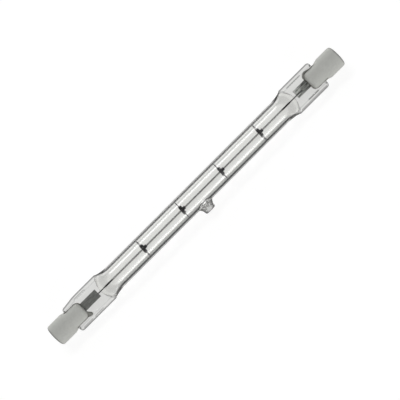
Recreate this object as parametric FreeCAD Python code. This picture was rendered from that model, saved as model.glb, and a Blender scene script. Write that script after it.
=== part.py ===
"""Double-ended linear halogen lamp, 118 mm class, with a recessed contact in each ceramic cap.

The lamp lies along X with its middle at the origin. It is drawn with its two press seals flat in the
XY plane and its sealed-off exhaust tip along -Y, then rolled about X until it rests on its tube and
on that tip. All sizes are in millimetres.
"""

import FreeCAD
import Part

import math
import os

V = FreeCAD.Vector

# A small round edge is turned as this many short cones
ROUND_STEPS = 3

# Whole lamp: distance between the two contact faces, and how far each lies behind its ceramic end face
CONTACT_SPACING = 114.2
RECESS_DEPTH = 1.7

# Quartz tube
TUBE_DIAMETER = 7.8
TUBE_WALL = 0.75

# Press seals: the tube end is squeezed into a flat web with a thicker rim along each edge
SEAL_WIDTH = 9.5
SEAL_WEB = 2.1
SEAL_RIM_WIDTH = 0.9
SEAL_RIM_HEIGHT = 3.0
SEAL_RIM_ROUND = 0.45
SEAL_RIM_SLOPE = 0.45
SEAL_CORNER = 0.8
LEFT_SEAL_LENGTH = 14.2
RIGHT_SEAL_LENGTH = 12.2

# Shoulders: the stretch over which the round tube widens and flattens into the seal
SHOULDER_LENGTH = 4.4
SHOULDER_RUNOUT = 2.4
SHOULDER_STEP = 0.2
SHOULDER_SECTIONS = 7
SINK_INTO_WEB = 0.05

# Gas space: the bore runs on into the seal, pressed to a chisel edge
CAVITY_REACH = 1.7
CAVITY_EDGE = 0.7

# Exhaust tip, where the pumping tube was melted off
TIP_OFFSET = 0.2
TIP_DIAMETER = 3.7
TIP_HEIGHT = 2.3
TIP_END_CHAMFER = 0.55
TIP_ROOT_FLARE = 0.55
TIP_ROOT_RISE = 0.6
TIP_BORE = 2.4
TIP_CLOSED_LENGTH = 1.3

# Current path: lead wires welded to a thin molybdenum foil in each seal
LEAD_DIAMETER = 0.38
LEAD_REACH = 2.8
LEAD_FREE_LENGTH = 1.65
WELD_OVERLAP = 2.4
FOIL_WIDTH = 2.8
FOIL_LENGTH = 7.6
FOIL_THICKNESS = 0.03
FOIL_INSET = 3.0
FOIL_OFFSET = 0.28
LEFT_FOIL_FACE = 1
RIGHT_FOIL_FACE = -1

# Filament: the closely wound coil, drawn as the sleeve that its turns fill
FILAMENT_WIRE = 0.1
FILAMENT_GRIP = 2.9
FILAMENT_CLEARANCE = 0.01

# Filament supports: a wire wound on the filament, then into a collar, then into a ring at the wall
SUPPORT_COUNT = 4
SUPPORT_PITCH = 16.15
SUPPORT_SHIFT = 2.3
SUPPORT_WIRE = 0.22
SUPPORT_COLLAR_DIAMETER = 2.7
SUPPORT_HUB_TURNS = 1.25
SUPPORT_COLLAR_TURNS = 2
SUPPORT_RING_TURNS = 0.85
SUPPORT_RISE_TURNS = 0.5
SUPPORT_TURN_SPACING = 1.15
SUPPORT_HUB_CLEARANCE = 0.01
SUPPORT_WALL_CLEARANCE = 0.02
SUPPORT_RUNS_PER_TURN = 8
SUPPORT_WIRE_FLATS = 5

# Ceramic caps
CAP_LENGTH = 11.8
CAP_DIAMETER = 7.15
CAP_HEAD_LENGTH = 5.3
CAP_TAPER_LENGTH = 1.2
CAP_NECK_DIAMETER = 6.2
CAP_EDGE_ROUND = 0.7
CAP_NECK_ROUND = 1.4
RECESS_DIAMETER = 3.5

# Cement between each cap and its seal
CEMENT_GAP = 0.12
LEFT_CEMENT_BED = 0.3
RIGHT_CEMENT_BED = 1.15

# Contact buttons at the bottom of each recess
CONTACT_DIAMETER = 2.9
CONTACT_HEAD = 0.6
CONTACT_STEM_DIAMETER = 1.5
CONTACT_STEM_LENGTH = 2.6
CONTACT_CLEARANCE = 0.02

# Sizes that follow from the ones above
TUBE_R = TUBE_DIAMETER / 2
BORE_R = TUBE_R - TUBE_WALL
HALF_LENGTH = CONTACT_SPACING / 2 + RECESS_DEPTH
LEAD_R = LEAD_DIAMETER / 2
COIL_INNER_R = LEAD_R + FILAMENT_CLEARANCE
COIL_OUTER_R = COIL_INNER_R + FILAMENT_WIRE
SEAT_R = CONTACT_DIAMETER / 2 + CONTACT_CLEARANCE
STEM_HOLE_R = CONTACT_STEM_DIAMETER / 2 + CONTACT_CLEARANCE
X_AXIS = V(1, 0, 0)
Y_AXIS = V(0, 1, 0)


class LampEnd:
    """The places along X of one end: side is -1 for the left end and 1 for the right."""

    def __init__(self, name, side, seal_length, cement_bed, foil_face):
        self.name = name
        self.side = side
        self.face = side * HALF_LENGTH
        self.contact_face = self.face - side * RECESS_DEPTH
        self.contact_seat = self.contact_face - side * CONTACT_HEAD
        self.stem_end = self.contact_seat - side * CONTACT_STEM_LENGTH
        self.slot_floor = self.stem_end - side * LEAD_FREE_LENGTH
        self.seal_end = self.slot_floor - side * cement_bed
        self.seal_start = self.seal_end - side * seal_length
        self.shoulder_start = self.seal_start - side * SHOULDER_LENGTH
        self.lead_tip = self.seal_start - side * LEAD_REACH
        self.coil_end = self.lead_tip + side * FILAMENT_GRIP
        self.foil_start = self.seal_start + side * FOIL_INSET
        self.foil_end = self.foil_start + side * FOIL_LENGTH
        self.foil_z = foil_face * (LEAD_R + FOIL_THICKNESS / 2)


LEFT = LampEnd("left", -1, LEFT_SEAL_LENGTH, LEFT_CEMENT_BED, LEFT_FOIL_FACE)
RIGHT = LampEnd("right", 1, RIGHT_SEAL_LENGTH, RIGHT_CEMENT_BED, RIGHT_FOIL_FACE)
ENDS = (LEFT, RIGHT)


def ease(share):
    """A smooth step from 0 to 1 with level ends."""
    share = min(1.0, max(0.0, share))
    return share * share * (3 - 2 * share)


def rod(x0, x1, radius):
    """A round bar along the lamp's axis between two places."""
    return Part.makeCylinder(radius, abs(x1 - x0), V(min(x0, x1), 0, 0), X_AXIS)


def bar(x0, x1, y_mid, width, z_mid, height):
    """A rectangular bar along X, centred on y_mid and z_mid."""
    corner = V(min(x0, x1), y_mid - width / 2, z_mid - height / 2)
    return Part.makeBox(abs(x1 - x0), width, height, corner)


def turned(edges, base, axis):
    """A solid of revolution from the edges of a closed half section."""
    return Part.Face(Part.Wire(edges)).revolve(base, axis, 360)


def outline(points):
    """Straight edges round a closed list of points."""
    corners = points + points[:1]
    return [Part.LineSegment(a, b).toShape() for a, b in zip(corners, corners[1:])]


def round_corner(radius, height, turn):
    """Points round the outer corner of a half section, from its side to its top."""
    points = []
    for i in range(ROUND_STEPS + 1):
        angle = math.pi / 2 * i / ROUND_STEPS
        points.append((radius - turn + turn * math.cos(angle), height - turn + turn * math.sin(angle)))
    return points


def oval(x, half_width, half_height):
    """A closed ellipse across the lamp's axis, its long half along Y."""
    if half_width - half_height < 1e-6:
        return Part.Wire(Part.Circle(V(x, 0, 0), X_AXIS, half_width).toShape())
    long_end = V(x, half_width, 0)
    short_end = V(x, 0, half_height)
    return Part.Wire(Part.Ellipse(long_end, short_end, V(x, 0, 0)).toShape())


def shoulder(end):
    """The outside of one shoulder: ovals that widen to the seal and flatten until they sink in its web."""
    length = SHOULDER_LENGTH + SHOULDER_RUNOUT
    widest = SEAL_WIDTH / 2 - SHOULDER_STEP
    lowest = SEAL_WEB / 2 - SINK_INTO_WEB
    sections = []
    for i in range(SHOULDER_SECTIONS):
        along = length * i / (SHOULDER_SECTIONS - 1)
        half_width = TUBE_R + (widest - TUBE_R) * ease(along / SHOULDER_LENGTH)
        half_height = TUBE_R + (lowest - TUBE_R) * ease(along / length)
        sections.append(oval(end.shoulder_start + end.side * along, half_width, half_height))
    return Part.makeLoft(sections, True, True)


def cavity_end(end):
    """The gas space in one shoulder: the bore between two planes that close to a thin edge."""
    edge_x = end.seal_start + end.side * CAVITY_REACH
    profile = [
        V(end.shoulder_start, -BORE_R, -BORE_R),
        V(edge_x, -BORE_R, -CAVITY_EDGE / 2),
        V(edge_x, -BORE_R, CAVITY_EDGE / 2),
        V(end.shoulder_start, -BORE_R, BORE_R),
    ]
    wedge = Part.Face(Part.Wire(outline(profile))).extrude(V(0, 2 * BORE_R, 0))
    return rod(end.shoulder_start, edge_x, BORE_R).common(wedge)


def seal_section(x, grow):
    """The seal's section across X: a flat web between two rounded rims, grown by grow all round."""
    edge = SEAL_WIDTH / 2 + grow
    rim_z = SEAL_RIM_HEIGHT / 2 + grow
    web_z = SEAL_WEB / 2 + grow
    rim_y = edge - SEAL_RIM_WIDTH - 2 * grow
    foot_y = rim_y - SEAL_RIM_SLOPE
    turn = SEAL_RIM_ROUND
    lean = turn * math.sqrt(0.5)

    def corner(y_sign, z_sign):
        side_point = V(x, y_sign * edge, z_sign * (rim_z - turn))
        middle = V(x, y_sign * (edge - turn + lean), z_sign * (rim_z - turn + lean))
        top_point = V(x, y_sign * (edge - turn), z_sign * rim_z)
        return side_point, middle, top_point

    def rim_to_rim(z_sign):
        ys = (edge - turn, rim_y, foot_y)
        zs = (rim_z, rim_z, web_z)
        going = [V(x, y, z_sign * z) for y, z in zip(ys, zs)]
        back = [V(x, -p.y, p.z) for p in reversed(going)]
        path = going + back
        return [Part.LineSegment(a, b).toShape() for a, b in zip(path, path[1:])]

    edges = []
    for y_sign, z_sign in ((1, 1), (1, -1), (-1, 1), (-1, -1)):
        edges.append(Part.Arc(*corner(y_sign, z_sign)).toShape())
    for y_sign in (1, -1):
        upper = V(x, y_sign * edge, rim_z - turn)
        lower = V(x, y_sign * edge, turn - rim_z)
        edges.append(Part.LineSegment(upper, lower).toShape())
    edges += rim_to_rim(1) + rim_to_rim(-1)
    return Part.Face(Part.Wire(Part.__sortEdges__(edges)))


def seal_bar(x0, x1, grow=0.0):
    """A length of the seal's section along X."""
    return seal_section(min(x0, x1), grow).extrude(V(abs(x1 - x0), 0, 0))


def press_seal(end):
    """One press seal, its four corners rounded as seen from above."""
    blank = seal_bar(end.seal_start, end.seal_end)
    plate = bar(end.seal_start, end.seal_end, 0, SEAL_WIDTH, 0, SEAL_RIM_HEIGHT)
    uprights = [edge for edge in plate.Edges if edge.BoundBox.ZLength > SEAL_RIM_HEIGHT / 2]
    return blank.common(plate.makeFillet(SEAL_CORNER, uprights))


def exhaust_tip():
    """The melted-off stub outside the tube, turned about its own axis along -Y."""
    top = TUBE_R + TIP_HEIGHT
    radius = TIP_DIAMETER / 2
    root = radius + TIP_ROOT_FLARE
    half_section = [(0, 0), (root, 0), (root, TUBE_R - TIP_ROOT_RISE), (radius, TUBE_R + TIP_ROOT_RISE)]
    half_section += [(radius, top - TIP_END_CHAMFER), (radius - TIP_END_CHAMFER, top), (0, top)]
    points = [V(TIP_OFFSET + r, -h, 0) for r, h in half_section]
    return turned(outline(points), V(TIP_OFFSET, 0, 0), Y_AXIS)


def tip_bore():
    """The blind channel inside the tip, closed short of its end."""
    depth = TUBE_R + TIP_HEIGHT - TIP_CLOSED_LENGTH
    return Part.makeCylinder(TIP_BORE / 2, depth, V(TIP_OFFSET, 0, 0), V(0, -1, 0))


def quartz_envelope(embedded):
    """The whole quartz piece: tube, shoulders, seals and tip, hollow, fused round what it embeds."""
    body = rod(LEFT.shoulder_start, RIGHT.shoulder_start, TUBE_R).fuse(exhaust_tip())
    for end in ENDS:
        body = body.fuse(shoulder(end)).fuse(press_seal(end))
    hollow = rod(LEFT.shoulder_start, RIGHT.shoulder_start, BORE_R)
    hollow = hollow.fuse([cavity_end(LEFT), cavity_end(RIGHT), tip_bore()])
    return body.cut(hollow).cut(embedded)


def foil(end):
    """The thin foil in the seal, lying on one side of the lead wires."""
    return bar(end.foil_start, end.foil_end, FOIL_OFFSET, FOIL_WIDTH, end.foil_z, FOIL_THICKNESS)


def inner_lead(end):
    """The wire from its weld on the foil to its tip inside the filament coil."""
    return rod(end.lead_tip, end.foil_start + end.side * WELD_OVERLAP, LEAD_R)


def outer_lead(end):
    """The wire from its weld on the foil to its butt weld on the contact's stem."""
    return rod(end.foil_end - end.side * WELD_OVERLAP, end.stem_end, LEAD_R)


def filament():
    """The coil as a sleeve that slips over both lead tips."""
    outside = rod(LEFT.coil_end, RIGHT.coil_end, COIL_OUTER_R)
    return outside.cut(rod(LEFT.coil_end, RIGHT.coil_end, COIL_INNER_R))


def support_stages():
    """Pairs of turn count and path radius that the support wire passes through, in order."""
    hub = COIL_OUTER_R + SUPPORT_HUB_CLEARANCE + SUPPORT_WIRE / 2
    hub_corner = hub / math.cos(math.pi / SUPPORT_RUNS_PER_TURN)
    collar = (SUPPORT_COLLAR_DIAMETER - SUPPORT_WIRE) / 2
    ring = BORE_R - SUPPORT_WALL_CLEARANCE - SUPPORT_WIRE / 2
    stages = [(0.0, hub_corner)]
    for turns, radius in (
        (SUPPORT_HUB_TURNS, hub_corner),
        (SUPPORT_RISE_TURNS, collar),
        (SUPPORT_COLLAR_TURNS, collar),
        (SUPPORT_RISE_TURNS, ring),
        (SUPPORT_RING_TURNS, ring),
    ):
        stages.append((stages[-1][0] + turns, radius))
    return stages


def support_radius(turn, stages):
    """The wire's distance from the axis after so many turns, easing between stages."""
    for (t0, r0), (t1, r1) in zip(stages, stages[1:]):
        if turn <= t1:
            return r0 + (r1 - r0) * ease((turn - t0) / (t1 - t0))
    return stages[-1][1]


def filament_support(x_mid):
    """One wound support: hub turns on the filament, collar turns, and a ring at the tube's wall."""
    stages = support_stages()
    turns = stages[-1][0]
    advance = SUPPORT_WIRE * SUPPORT_TURN_SPACING
    points = []
    for i in range(math.floor(turns * SUPPORT_RUNS_PER_TURN) + 1):
        turn = i / SUPPORT_RUNS_PER_TURN
        angle = 2 * math.pi * turn
        radius = support_radius(turn, stages)
        x = x_mid + advance * (turns / 2 - turn)
        points.append(V(x, radius * math.cos(angle), radius * math.sin(angle)))
    return Part.makePolygon(points).makePipeShell([wire_section(points)], True, False, 1)


def wire_section(points):
    """The wire's section, a regular polygon square to the first run of its path."""
    along = (points[1] - points[0]).normalize()
    out = along.cross(X_AXIS).normalize()
    across = along.cross(out)
    corners = []
    for i in range(SUPPORT_WIRE_FLATS + 1):
        angle = 2 * math.pi * i / SUPPORT_WIRE_FLATS
        corners.append(points[0] + (out * math.cos(angle) + across * math.sin(angle)) * (SUPPORT_WIRE / 2))
    return Part.makePolygon(corners)


def cap_blank(end):
    """The outside of one ceramic cap: head, taper and neck, with rounded ends."""
    head = CAP_DIAMETER / 2
    neck = CAP_NECK_DIAMETER / 2
    taper_start = CAP_LENGTH - CAP_HEAD_LENGTH
    half_section = [(0, 0), (0, CAP_LENGTH)]
    half_section += reversed(round_corner(head, CAP_LENGTH, CAP_EDGE_ROUND))
    half_section += [(head, taper_start), (neck, taper_start - CAP_TAPER_LENGTH)]
    half_section += [(r, CAP_NECK_ROUND - h) for r, h in round_corner(neck, CAP_NECK_ROUND, CAP_NECK_ROUND)]
    inner_end = end.face - end.side * CAP_LENGTH
    points = [V(inner_end + end.side * h, r, 0) for r, h in half_section]
    return turned(outline(points), V(0, 0, 0), X_AXIS)


def cap_slot(end):
    """The room in the cap for the seal and its cement, open past the cap's inner end."""
    past = end.face - end.side * (CAP_LENGTH + CAP_NECK_ROUND)
    return seal_bar(end.slot_floor, past, CEMENT_GAP)


def ceramic_cap(end):
    """One cap: a slot for the seal, a recess for the holder's plunger and a stepped contact hole."""
    recess = rod(end.face, end.contact_face, RECESS_DIAMETER / 2)
    seat = rod(end.contact_face, end.contact_seat, SEAT_R)
    stem_hole = rod(end.contact_seat, end.slot_floor, STEM_HOLE_R)
    return cap_blank(end).cut([cap_slot(end), recess, seat, stem_hole])


def cement(end, envelope):
    """The cement that fills the cap's slot round the seal and the lead."""
    filling = cap_blank(end).common(cap_slot(end))
    return filling.cut([envelope, outer_lead(end), foil(end)])


def contact(end):
    """One contact button: a flat head in its seat and a stem welded to the outer lead."""
    head = rod(end.contact_face, end.contact_seat, CONTACT_DIAMETER / 2)
    return head.fuse(rod(end.contact_seat, end.stem_end, CONTACT_STEM_DIAMETER / 2))


def rest_roll():
    """Degrees about X that bring the edge of the tip down level with the underside of the tube."""
    top = TUBE_R + TIP_HEIGHT
    radius = TIP_DIAMETER / 2
    rolls = []
    for out, across in ((top - TIP_END_CHAMFER, radius), (top, radius - TIP_END_CHAMFER)):
        rolls.append(math.asin(TUBE_R / math.hypot(out, across)) - math.atan2(across, out))
    return math.degrees(min(rolls))


def build():
    """All pieces by node name, rolled to where the lamp rests."""
    parts = {}
    embedded = []
    for end in ENDS:
        parts[f"foil_{end.name}"] = foil(end)
        parts[f"inner_lead_{end.name}"] = inner_lead(end)
        parts[f"outer_lead_{end.name}"] = outer_lead(end)
        embedded += [foil(end), inner_lead(end), outer_lead(end)]
    envelope = quartz_envelope(embedded)
    parts["quartz_envelope"] = envelope
    parts["filament"] = filament()
    for i in range(SUPPORT_COUNT):
        x_mid = SUPPORT_SHIFT + SUPPORT_PITCH * (i - (SUPPORT_COUNT - 1) / 2)
        parts[f"filament_support_{i + 1}"] = filament_support(x_mid)
    for end in ENDS:
        parts[f"ceramic_cap_{end.name}"] = ceramic_cap(end)
        parts[f"cement_{end.name}"] = cement(end, envelope)
        parts[f"contact_{end.name}"] = contact(end)
    for shape in parts.values():
        shape.rotate(V(0, 0, 0), X_AXIS, rest_roll())
    return parts


def main():
    os.makedirs("parts", exist_ok=True)
    for name, shape in build().items():
        shape.exportStep(os.path.join("parts", name + ".step"))
        print(f"{name}: {len(shape.Solids)} solid, {shape.Volume:.3f} mm3, valid {shape.isValid()}")


main()
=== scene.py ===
# %% [markdown]
# # A linear halogen bulb
#
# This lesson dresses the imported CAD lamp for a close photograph. The lamp is a thin quartz tube, pressed
# flat at both ends, with a coiled filament inside and a ceramic cap on each end. The CAD nodes give every
# place and size. Where a CAD solid is too plain for a close look, a finer surface worked out with numpy
# takes its place.

from functools import partial

import bpy
import numpy as np
from mathutils import Matrix, Vector


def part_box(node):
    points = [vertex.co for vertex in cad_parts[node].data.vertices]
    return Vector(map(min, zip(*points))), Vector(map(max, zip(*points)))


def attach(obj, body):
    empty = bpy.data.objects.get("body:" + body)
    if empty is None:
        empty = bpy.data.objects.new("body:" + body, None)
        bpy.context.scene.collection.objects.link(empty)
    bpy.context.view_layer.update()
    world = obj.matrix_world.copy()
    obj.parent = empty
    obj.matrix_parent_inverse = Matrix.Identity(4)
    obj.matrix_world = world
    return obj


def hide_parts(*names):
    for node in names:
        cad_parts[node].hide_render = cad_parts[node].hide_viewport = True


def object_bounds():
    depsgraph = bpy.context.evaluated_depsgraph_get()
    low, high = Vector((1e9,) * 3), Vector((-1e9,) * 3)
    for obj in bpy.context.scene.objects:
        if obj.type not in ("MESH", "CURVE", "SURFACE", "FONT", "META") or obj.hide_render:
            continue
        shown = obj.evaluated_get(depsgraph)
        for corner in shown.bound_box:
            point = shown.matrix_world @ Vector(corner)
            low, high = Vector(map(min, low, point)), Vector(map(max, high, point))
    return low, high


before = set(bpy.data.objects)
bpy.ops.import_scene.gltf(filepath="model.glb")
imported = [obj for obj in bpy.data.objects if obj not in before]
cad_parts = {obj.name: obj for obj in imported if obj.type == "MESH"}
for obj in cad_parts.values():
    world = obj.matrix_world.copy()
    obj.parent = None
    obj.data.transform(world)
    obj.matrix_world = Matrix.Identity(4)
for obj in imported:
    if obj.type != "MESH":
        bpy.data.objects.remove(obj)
cad_low, cad_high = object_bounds()
MM = 0.001
print("CAD nodes:", len(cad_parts))

# %% [markdown]
# ## Sizes
#
# The places along the lamp come from the boxes of the CAD nodes, so the scene follows the CAD. The section
# sizes repeat the CAD's own, and only the seals start half a millimetre further out, as in the photo.
# Everything is drawn with the seals flat in the XY plane and the tip along -Y, in millimetres. One turn about
# X then lays it down as the CAD does, on its tube and on its tip.

# %% Sizes in millimetres
TUBE_R, BORE_R = 3.9, 3.15
SEAL_HALF_WIDTH, SEAL_WEB_Z, SEAL_RIM_Z = 4.75, 1.05, 1.5
SEAL_BEFORE_FOIL = 2.5
SHOULDER_LENGTH, SHOULDER_LEAD = 4.4, 0.8
TIP_X, TIP_R, TIP_HEIGHT, TIP_CHAMFER = 0.2, 1.85, 2.3, 0.55
TIP_EDGE_OUT = TUBE_R + TIP_HEIGHT - TIP_CHAMFER
ROLL = float(np.arcsin(TUBE_R / np.hypot(TIP_EDGE_OUT, TIP_R)) - np.arctan2(TIP_R, TIP_EDGE_OUT))
ROLL_COS, ROLL_SIN = float(np.cos(ROLL)), float(np.sin(ROLL))


def span(node):
    """The lowest and highest X of a CAD node, in millimetres."""
    low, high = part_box(node)
    return low[0] / MM, high[0] / MM


CAP_FACE = span("ceramic_cap_right")[1]
END = {}
for name, side in (("left", -1), ("right", 1)):
    foil = sorted(span("foil_" + name), key=abs)
    END[name] = {
        "side": side,
        "seal_start": foil[0] - side * SEAL_BEFORE_FOIL,
        "seal_end": sorted(span("quartz_envelope"), key=lambda x: -side * x)[0],
        "foil": foil,
    }
print("roll in degrees:", round(np.degrees(ROLL), 2), "ends:", END)

# %% [markdown]
# ## Grids of points
#
# A piece here is a grid of points joined by quads. Blender could build each face in a loop, but numpy
# numbers all the quads of a grid at once, which is quick and easy to check. A lid closes the open ring at
# a grid's end, and the sign of the shell's volume tells whether its faces look outwards.


# %% Quads and lids
def grid_quads(rows, columns, closed=False):
    """Quads of a grid: each joins point (i, j) with its next neighbours; closed columns wrap round."""
    i, j = np.meshgrid(np.arange(rows - 1), np.arange(columns if closed else columns - 1), indexing="ij")
    after = (j + 1) % columns
    quads = [i * columns + j, i * columns + after, (i + 1) * columns + after, (i + 1) * columns + j]
    return np.stack(quads, axis=-1).reshape(-1, 4)


def mirror_lid(ring):
    """Faces that close a ring of point numbers by joining each point to its mirror, k to -k, across it."""
    k = np.arange(len(ring) // 2)
    return np.stack([ring[k], ring[k + 1], ring[-k - 1], ring[-k]], axis=1)


def fan_lid(ring):
    """Faces that close a ring of point numbers from its first point, each over two edges of the ring."""
    k = np.arange(1, len(ring) - 2, 2)
    return np.stack([np.full_like(k, ring[0]), ring[k], ring[k + 1], ring[k + 2]], axis=1)


def end_lids(rows, columns, lid=mirror_lid):
    """Lids on the first and the last ring of a grid of closed rings."""
    ring = np.arange(columns)
    return np.concatenate([lid(ring)[:, ::-1], lid(ring + (rows - 1) * columns)])


def facing_out(points, quads):
    """Turns a closed shell's faces outwards: its signed volume, summed over the faces, is then above 0."""
    a, b, c, d = (points[quads[:, n]] for n in range(4))
    volume = np.sum(a * np.cross(b, c) + a * np.cross(c, d))
    return quads if volume > 0 else quads[:, ::-1]


def points_of(x, y, z):
    """Points from their x, y and z, three arrays that are first spread to one shape."""
    return np.stack(np.broadcast_arrays(x, y, z), axis=-1)


def full_turn(sides):
    """Even angles round a circle, from 0 up to but without 2 pi."""
    return np.linspace(0, 2 * np.pi, sides, endpoint=False)


QUARTER = np.pi / 2


def ease(share):
    """A smooth step from 0 to 1 with level ends: 3 s squared less 2 s cubed."""
    share = np.clip(share, 0.0, 1.0)
    return share * share * (3 - 2 * share)


print("a grid of 3 by 4 points has", len(grid_quads(3, 4)), "quads")

# %% [markdown]
# ## From arrays to a piece
#
# One function turns the points to where the lamp lies, puts whole arrays into a mesh, and ties the piece to
# the CAD frame. The turn goes into the points and not into the object, so the object stays at the origin
# and patterns on Object coordinates stay where they are drawn.


# %% Add a piece
def lay_down(points):
    """Turns points about X by the roll at which the lamp rests, and goes from millimetres to metres."""
    x, y, z = np.asarray(points, float).reshape(-1, 3).T
    return points_of(x, y * ROLL_COS - z * ROLL_SIN, y * ROLL_SIN + z * ROLL_COS) * MM


def new_object(name, data):
    """An object for a mesh, lamp or camera, linked to the scene."""
    thing = bpy.data.objects.new(name, data)
    bpy.context.scene.collection.objects.link(thing)
    return thing


def add_piece(name, shell, nodes, materials, material_index=None, smooth_angle=None):
    """A mesh object from a shell, a pair of points (mm) and quads, that stands for the CAD nodes named.

    A quad that names one point twice in a row is a triangle.
    """
    points, quads = shell
    mesh = bpy.data.meshes.new(name)
    corner = quads != np.roll(quads, 1, axis=1)
    total = corner.sum(axis=1)
    mesh.vertices.add(len(points))
    mesh.vertices.foreach_set("co", lay_down(points).ravel())
    mesh.loops.add(int(total.sum()))
    mesh.loops.foreach_set("vertex_index", quads[corner].astype(np.int32))
    mesh.polygons.add(len(quads))
    mesh.polygons.foreach_set("loop_start", (np.cumsum(total) - total).astype(np.int32))
    mesh.update(calc_edges=True)
    for material in materials:
        mesh.materials.append(material)
    if material_index is not None:
        mesh.polygons.foreach_set("material_index", np.asarray(material_index, dtype=np.int32))
    mesh.polygons.foreach_set("use_smooth", np.ones(len(mesh.polygons), dtype=bool))
    if smooth_angle is not None:
        mesh.set_sharp_from_angle(angle=np.radians(smooth_angle))
    mesh.validate()
    piece = new_object(name, mesh)
    for node in nodes:
        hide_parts(node)
    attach(piece, "root")
    print(f"{name}: {len(mesh.vertices)} points, {len(mesh.polygons)} faces")


print("1 mm along the seal's Y lies at", lay_down((0, 1, 0)).round(6).tolist())

# %% [markdown]
# ## Sweeps
#
# Most pieces of the lamp are wires or turned parts. A wire is a circle carried along a path, and a turned
# part is a profile carried round the X axis. A curve object with a bevel would also give a wire, but arrays
# keep every point under control and can be joined into one mesh.


# %% Sweep, turn and join
def closed_sweep(grid, lid=mirror_lid):
    """The shell of a grid of closed rings, with a lid on its first and last ring, facing out."""
    rows, columns = grid.shape[:2]
    quads = np.concatenate([grid_quads(rows, columns, closed=True), end_lids(rows, columns, lid)])
    points = grid.reshape(-1, 3)
    return points, facing_out(points, quads)


def tube_along(path, radius, sides):
    """A round wire: at each path point a circle in the plane of two unit vectors square to the path.

    The first vector is the X axis less its share along the path, the second is their cross product.
    """
    along = np.gradient(path, axis=0)
    along /= np.linalg.norm(along, axis=1, keepdims=True)
    first = np.array([1.0, 0.0, 0.0]) - along[:, :1] * along
    first /= np.linalg.norm(first, axis=1, keepdims=True)
    second = np.cross(along, first)
    turn = full_turn(sides)[None, :, None]
    circle = np.cos(turn) * first[:, None] + np.sin(turn) * second[:, None]
    return closed_sweep(path[:, None] + radius * circle)


def around_x(x, r, turn):
    """Points at a distance r from the X axis: (x, r cos turn, r sin turn)."""
    return points_of(x, r * np.cos(turn), r * np.sin(turn))


def revolve(x, r, sides):
    """A turned part: its profile of x and r is carried round the X axis."""
    return closed_sweep(around_x(x[:, None], r[:, None], full_turn(sides)))


def join(*shells):
    """Puts several shells into one: each shell's quads are counted on from the points before it."""
    starts = np.cumsum([0] + [len(points) for points, quads in shells])
    quads = [quads + start for (points, quads), start in zip(shells, starts)]
    return np.concatenate([points for points, quads in shells]), np.concatenate(quads)


print("a turned disc of 8 sides has", len(revolve(np.array([0.0, 1.0]), np.ones(2), 8)[1]), "faces")

# %% [markdown]
# ## Materials
#
# Each material is named for the real stuff and for how its surface was made. Colours are written as sRGB
# hex and turned to linear once. Patterns read Object coordinates, which are metres here, so a pattern's
# scale is one over its size in metres. One function adds every node, whatever its kind.


# %% Material helpers
def linear(hex_colour):
    """sRGB hex to a linear RGBA tuple."""
    value = np.array([int(hex_colour[i:i + 2], 16) for i in (1, 3, 5)]) / 255
    value = np.where(value <= 0.04045, value / 12.92, ((value + 0.055) / 1.055) ** 2.4)
    return (*value.tolist(), 1.0)


def add_node(tree, kind, given=None):
    """Adds a shader node and sets what is given, by an input's name or number or by a property's name.

    A socket is linked to the input, and so is a node, by its first output in use. "stops" are a colour ramp's
    pairs of place and linear RGBA.
    """
    node = tree.nodes.new("ShaderNode" + kind)
    for key, value in (given or {}).items():
        if isinstance(value, bpy.types.Node):
            value = next(output for output in value.outputs if output.enabled)
        if isinstance(value, bpy.types.NodeSocket):
            tree.links.new(value, node.inputs[key])
        elif key == "stops":
            elements = node.color_ramp.elements
            while len(elements) < len(value):
                elements.new(0.5)
            for element, (place, colour) in zip(elements, value):
                element.position, element.color = place, colour
        elif isinstance(key, int) or key in node.inputs:
            node.inputs[key].default_value = value
        else:
            setattr(node, key, value)
    return node


def empty_nodes(owner):
    """Clears the node tree of a material or world, and gives add_node for that tree."""
    owner.use_nodes = True
    owner.node_tree.nodes.clear()
    return partial(add_node, owner.node_tree)


def greys(stops, tint=(1.0, 1.0, 1.0)):
    """A ramp's stops from pairs of place and linear grey, each grey times a tint."""
    return [(place, (*(grey * part for part in tint), 1.0)) for place, grey in stops]


def either_way(hex_colour, spread):
    """A ramp's stops for a colour that wanders by a share of itself: darker at 0.3, lighter at 0.7."""
    base = np.array(linear(hex_colour)[:3])
    return [(place, (*np.clip(base * (1 + way * spread), 0, 1), 1.0)) for place, way in ((0.3, -1), (0.7, 1))]


print("mid grey #808080 is", round(linear("#808080")[0], 4), "in linear light")

# %% [markdown]
# ### Quartz
#
# Fused quartz is clear, with an index of 1.458. Against a white ground a clear tube shows by its edges: light
# that meets the inner wall at more than about 43 degrees is wholly turned back, and on a light table it then
# comes from the dark room beyond the lit sheet. One Glass shader would show whatever stands there, so the
# glass is two shaders: a refraction for what passes and a soft gloss for what is turned back, with a Fresnel
# between them. The dark room is painted shade: each face of glass gets a painted grey by the angle at which
# it is met, from a Layer Weight.
#
# Pressed and drawn glass is thick and its small faces lie at many angles. There the angle is limited to the
# face's own slope, so that flat faces stay clear from any side and only the steep ones go dark with painted
# shade.

# %% Quartz glass
QUARTZ_IOR = 1.458
# soft edges for the highlights, and the Fresnel share past which light is wholly turned back
GLOSS_ROUGHNESS, TURNED_BACK = 0.19, 0.9
# a trace of yellow, and the painted greys of clear glass from square on to grazing
FAINT_TINT, CLEAR = (1.0, 1.0, 0.993), ((0.0, 0.99), (1.0, 0.97))
# the lamp's own Y axis, and the axis square to its seals, after the roll
ACROSS, SQUARE = (0.0, ROLL_COS, ROLL_SIN), (0.0, -ROLL_SIN, ROLL_COS)
# in metres, the middle between the shoulders and how far from it they start, and in mm, how their painted
# dark stroke fades in
ENDS_MIDDLE = (END["left"]["seal_start"] + END["right"]["seal_start"]) / 2 * MM
SHOULDER_FROM = (END["right"]["seal_start"] - SHOULDER_LENGTH - SHOULDER_LEAD) * MM - ENDS_MIDDLE
SHOULDER_FADE = 2.7


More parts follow.
